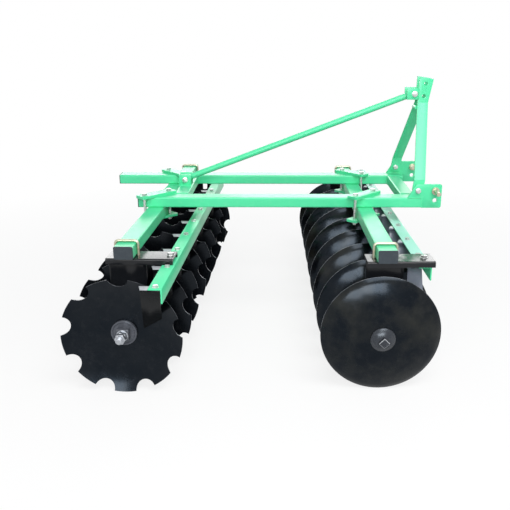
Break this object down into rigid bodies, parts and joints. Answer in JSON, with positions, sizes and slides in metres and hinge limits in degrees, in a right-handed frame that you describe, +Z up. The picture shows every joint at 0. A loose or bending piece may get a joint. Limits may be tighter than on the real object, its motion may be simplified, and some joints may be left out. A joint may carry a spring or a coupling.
{
  "type": "mounted offset disc harrow",
  "caption": "Mounted offset disc harrow with a plain front disc gang, a notched rear disc gang, scrapers and a three-point hitch mast.",
  "frame": {"origin": "on the ground, at the centre of the harrow's footprint box", "axes": "+X the direction of travel (hitch end), +Y the machine's left, +Z up"},
  "size_m": [1.714, 2.2655, 1.24],
  "materials": {
    "green_paint": "gloss",
    "black_paint": "gloss",
    "scraper_steel": "satin",
    "zinc": "satin",
    "bright_steel": "satin",
    "black_plastic": "matt"
  },
  "bodies": {
    "frame": {"brace": "green_paint", "brace_bolts": "bright_steel", "brace_front_bracket": "green_paint", "brace_rear_bracket": "green_paint", "clamp_front_left": "green_paint", "clamp_front_right": "green_paint", "clamp_rear_left": "green_paint", "clamp_rear_right": "green_paint", "front_clamp_bolts": "bright_steel", "front_cross_tube": "green_paint", "front_gang_beam": "green_paint", "front_gang_beam_caps": "black_plastic", "front_hanger_domed": "black_paint", "front_hanger_open": "black_paint", "front_scraper_bar": "green_paint", "front_scrapers": "scraper_steel", "front_u_bolts": "zinc", "hitch_pin_left": "zinc", "hitch_pin_right": "zinc", "hitch_plate_left": "green_paint", "hitch_plate_right": "green_paint", "main_beam_caps": "black_plastic", "main_beam_left": "green_paint", "main_beam_right": "green_paint", "mast_strut_left": "green_paint", "mast_strut_right": "green_paint", "rear_clamp_bolts": "bright_steel", "rear_cross_tube": "green_paint", "rear_gang_beam": "green_paint", "rear_gang_beam_caps": "black_plastic", "rear_hanger_domed": "black_paint", "rear_hanger_open": "black_paint", "rear_scraper_bar": "green_paint", "rear_scrapers": "scraper_steel", "rear_u_bolts": "zinc", "strut_bolts": "bright_steel"},
    "front_gang": {"front_axle": "black_paint", "front_axle_nuts": "bright_steel", "front_discs": "black_paint", "front_end_dome": "black_paint", "front_end_washer": "black_paint", "front_spools": "black_paint"},
    "rear_gang": {"rear_axle": "black_paint", "rear_axle_nuts": "bright_steel", "rear_discs": "black_paint", "rear_end_dome": "black_paint", "rear_end_washer": "black_paint", "rear_spools": "black_paint"}
  },
  "joints": [
    {"name": "front_gang_spin", "type": "hinge", "parent": "frame", "child": "front_gang", "pos_m": [0.463, 0, 0.255], "axis": [-0.0175, 0.9998, 0], "continuous": true},
    {"name": "rear_gang_spin", "type": "hinge", "parent": "frame", "child": "rear_gang", "pos_m": [-0.566, 0, 0.255], "axis": [0.0384, 0.9993, 0], "continuous": true}
  ]
}
